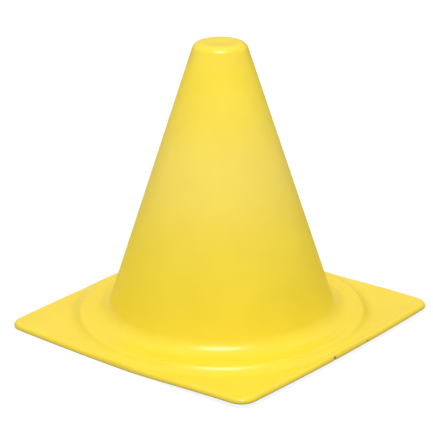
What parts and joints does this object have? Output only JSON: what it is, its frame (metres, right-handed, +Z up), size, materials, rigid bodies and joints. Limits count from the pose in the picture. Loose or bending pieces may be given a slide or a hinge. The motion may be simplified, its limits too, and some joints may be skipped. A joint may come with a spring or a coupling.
{
  "type": "sports marker cone",
  "caption": "Yellow moulded plastic marker cone, hollow and open underneath, with a round shoulder and a square base plate; stands on a pitch and stacks on its like.",
  "frame": {"origin": "centre of the square base, on the floor that the rim rests on", "axes": "+Z up along the cone's axis, X and Y square to the sides of the base"},
  "size_m": [0.1624, 0.1624, 0.15],
  "materials": {
    "yellow_plastic": "soft satin moulded plastic, coloured all through"
  },
  "bodies": {
    "root": {"cone_moulding": "yellow_plastic"}
  },
  "joints": []
}
